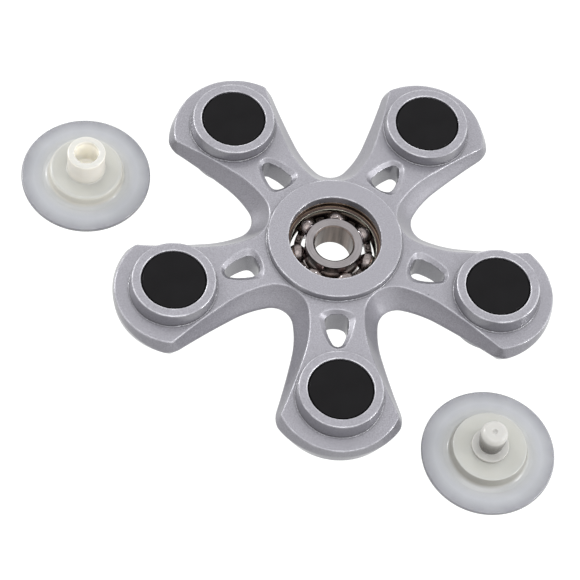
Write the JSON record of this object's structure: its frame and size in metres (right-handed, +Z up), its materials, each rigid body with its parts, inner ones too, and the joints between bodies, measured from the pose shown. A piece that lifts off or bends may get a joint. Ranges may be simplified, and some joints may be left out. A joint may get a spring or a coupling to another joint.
{
  "type": "fidget spinner",
  "caption": "Flat silver fidget spinner with radiating arms, black round insets, an open ball bearing in the hub and its round finger caps lying beside it.",
  "frame": {"origin": "on the table, under the centre of the bounding box of the spinner and its two loose caps; the hub axis stands at x = 9.83 mm, y = 8.03 mm", "axes": "+Z up along the bearing axis, +X to the right along the longest extent, one arm points along -Y"},
  "size_m": [0.1104, 0.0974, 0.0122],
  "materials": {
    "body_paint": "silver metallic paint on a zinc die casting, fine grain, satin",
    "bearing_steel": "ground bearing steel",
    "cage_steel": "dark oiled stamped steel",
    "ball_chrome": "mirror polished",
    "disc_black": "glossy black",
    "weight_steel": "plain turned steel, hidden",
    "cap_plastic": "milky translucent moulded nylon"
  },
  "bodies": {
    "spinner": {"spinner_body": "body_paint", "bearing_outer_ring": "bearing_steel", "counterweight_1": "weight_steel", "counterweight_2": "weight_steel", "counterweight_3": "weight_steel", "counterweight_4": "weight_steel", "counterweight_5": "weight_steel", "disc_top_1": "disc_black", "disc_top_2": "disc_black", "disc_top_3": "disc_black", "disc_top_4": "disc_black", "disc_top_5": "disc_black", "disc_bottom_1": "disc_black", "disc_bottom_2": "disc_black", "disc_bottom_3": "disc_black", "disc_bottom_4": "disc_black", "disc_bottom_5": "disc_black"},
    "inner_ring": {"bearing_inner_ring": "bearing_steel"},
    "cage": {"cage_upper": "cage_steel", "cage_lower": "cage_steel", "cage_rivet_1": "cage_steel", "cage_rivet_2": "cage_steel", "cage_rivet_3": "cage_steel", "cage_rivet_4": "cage_steel", "cage_rivet_5": "cage_steel", "cage_rivet_6": "cage_steel", "cage_rivet_7": "cage_steel"},
    "ball_1": {"ball_1": "ball_chrome"},
    "ball_2": {"ball_2": "ball_chrome"},
    "ball_3": {"ball_3": "ball_chrome"},
    "ball_4": {"ball_4": "ball_chrome"},
    "ball_5": {"ball_5": "ball_chrome"},
    "ball_6": {"ball_6": "ball_chrome"},
    "ball_7": {"ball_7": "ball_chrome"},
    "cap_socket": {"cap_socket": "cap_plastic"},
    "cap_peg": {"cap_peg": "cap_plastic"}
  },
  "joints": [
    {"name": "inner_ring_spin", "type": "hinge", "parent": "spinner", "child": "inner_ring", "pos_m": [0.00983, 0.00803, 0.0061], "axis": [0, 0, 1], "continuous": true},
    {"name": "cage_orbit", "type": "hinge", "parent": "spinner", "child": "cage", "pos_m": [0.00983, 0.00803, 0.0061], "axis": [0, 0, 1], "continuous": true},
    {"name": "ball_1_spin", "type": "hinge", "parent": "cage", "child": "ball_1", "pos_m": [0.01076, 0.01547, 0.0061], "axis": [0, 0, 1], "continuous": true},
    {"name": "ball_2_spin", "type": "hinge", "parent": "cage", "child": "ball_2", "pos_m": [0.00459, 0.01339, 0.0061], "axis": [0, 0, 1], "continuous": true},
    {"name": "ball_3_spin", "type": "hinge", "parent": "cage", "child": "ball_3", "pos_m": [0.00237, 0.00727, 0.0061], "axis": [0, 0, 1], "continuous": true},
    {"name": "ball_4_spin", "type": "hinge", "parent": "cage", "child": "ball_4", "pos_m": [0.00577, 0.00172, 0.0061], "axis": [0, 0, 1], "continuous": true},
    {"name": "ball_5_spin", "type": "hinge", "parent": "cage", "child": "ball_5", "pos_m": [0.01223, 0.00092, 0.0061], "axis": [0, 0, 1], "continuous": true},
    {"name": "ball_6_spin", "type": "hinge", "parent": "cage", "child": "ball_6", "pos_m": [0.01688, 0.00547, 0.0061], "axis": [0, 0, 1], "continuous": true},
    {"name": "ball_7_spin", "type": "hinge", "parent": "cage", "child": "ball_7", "pos_m": [0.01623, 0.01194, 0.0061], "axis": [0, 0, 1], "continuous": true},
    {"name": "cap_socket_lift", "type": "slide", "parent": "spinner", "child": "cap_socket", "axis": [0, 0, 1], "range_m": [0, 0.04]},
    {"name": "cap_peg_lift", "type": "slide", "parent": "spinner", "child": "cap_peg", "axis": [0, 0, 1], "range_m": [0, 0.04]}
  ],
  "couplings": [
    {"joint": "cage_orbit", "follows": "inner_ring_spin", "ratio": 0.3677},
    {"joint": "ball_1_spin", "follows": "inner_ring_spin", "ratio": -1.7573},
    {"joint": "ball_2_spin", "follows": "inner_ring_spin", "ratio": -1.7573},
    {"joint": "ball_3_spin", "follows": "inner_ring_spin", "ratio": -1.7573},
    {"joint": "ball_4_spin", "follows": "inner_ring_spin", "ratio": -1.7573},
    {"joint": "ball_5_spin", "follows": "inner_ring_spin", "ratio": -1.7573},
    {"joint": "ball_6_spin", "follows": "inner_ring_spin", "ratio": -1.7573},
    {"joint": "ball_7_spin", "follows": "inner_ring_spin", "ratio": -1.7573}
  ]
}
